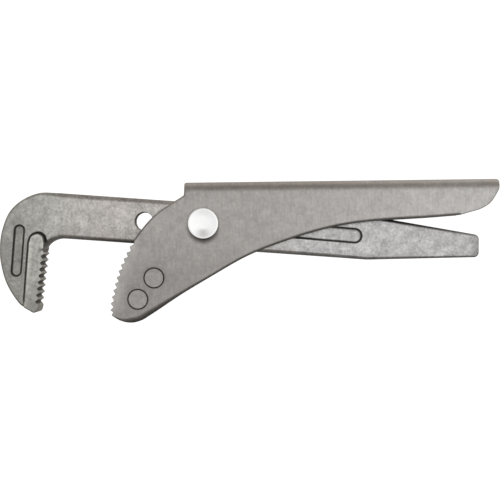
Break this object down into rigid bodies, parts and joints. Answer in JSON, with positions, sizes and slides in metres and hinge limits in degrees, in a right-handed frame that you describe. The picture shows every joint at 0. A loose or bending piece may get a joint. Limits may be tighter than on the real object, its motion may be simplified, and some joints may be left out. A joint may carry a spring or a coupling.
{
  "type": "pipe pliers",
  "caption": "Pipe pliers with a folded-channel handle, a toothed fixed jaw on it, and a forged hook bar that swings between its cheeks on a removable pin.",
  "frame": {"origin": "under the middle of the whole tool at rest, on the plane of the rear cheek's outer face", "axes": "+X along the spine from the jaws to the handle's end, +Y from the open side of the jaws up to the spine, +Z from the rear cheek to the front cheek and the pin's head"},
  "size_m": [0.2302, 0.0642, 0.0159],
  "materials": {
    "pressed_steel": "satin",
    "milled_steel": "milled",
    "rivet_steel": "ground",
    "forged_steel": "forged and tumbled",
    "bright_steel": "bright plated",
    "spring_steel": "oiled"
  },
  "bodies": {
    "handle": {"channel_handle": "pressed_steel", "jaw_insert": "milled_steel", "rivet_upper": "rivet_steel", "rivet_lower": "rivet_steel"},
    "bar": {"hook_bar": "forged_steel"},
    "pin": {"pivot_pin": "bright_steel", "pin_snap_ring": "spring_steel"}
  },
  "joints": [
    {"name": "bar_swing", "type": "hinge", "parent": "handle", "child": "bar", "pos_m": [-0.02108, 0.013, 0.0068], "axis": [0, 0, 1], "range_deg": [-26.5, 9.5]},
    {"name": "pin_pull", "type": "slide", "parent": "handle", "child": "pin", "axis": [0, 0, 1], "range_m": [0, 0.014], "deforming": ["pin_snap_ring"]}
  ]
}
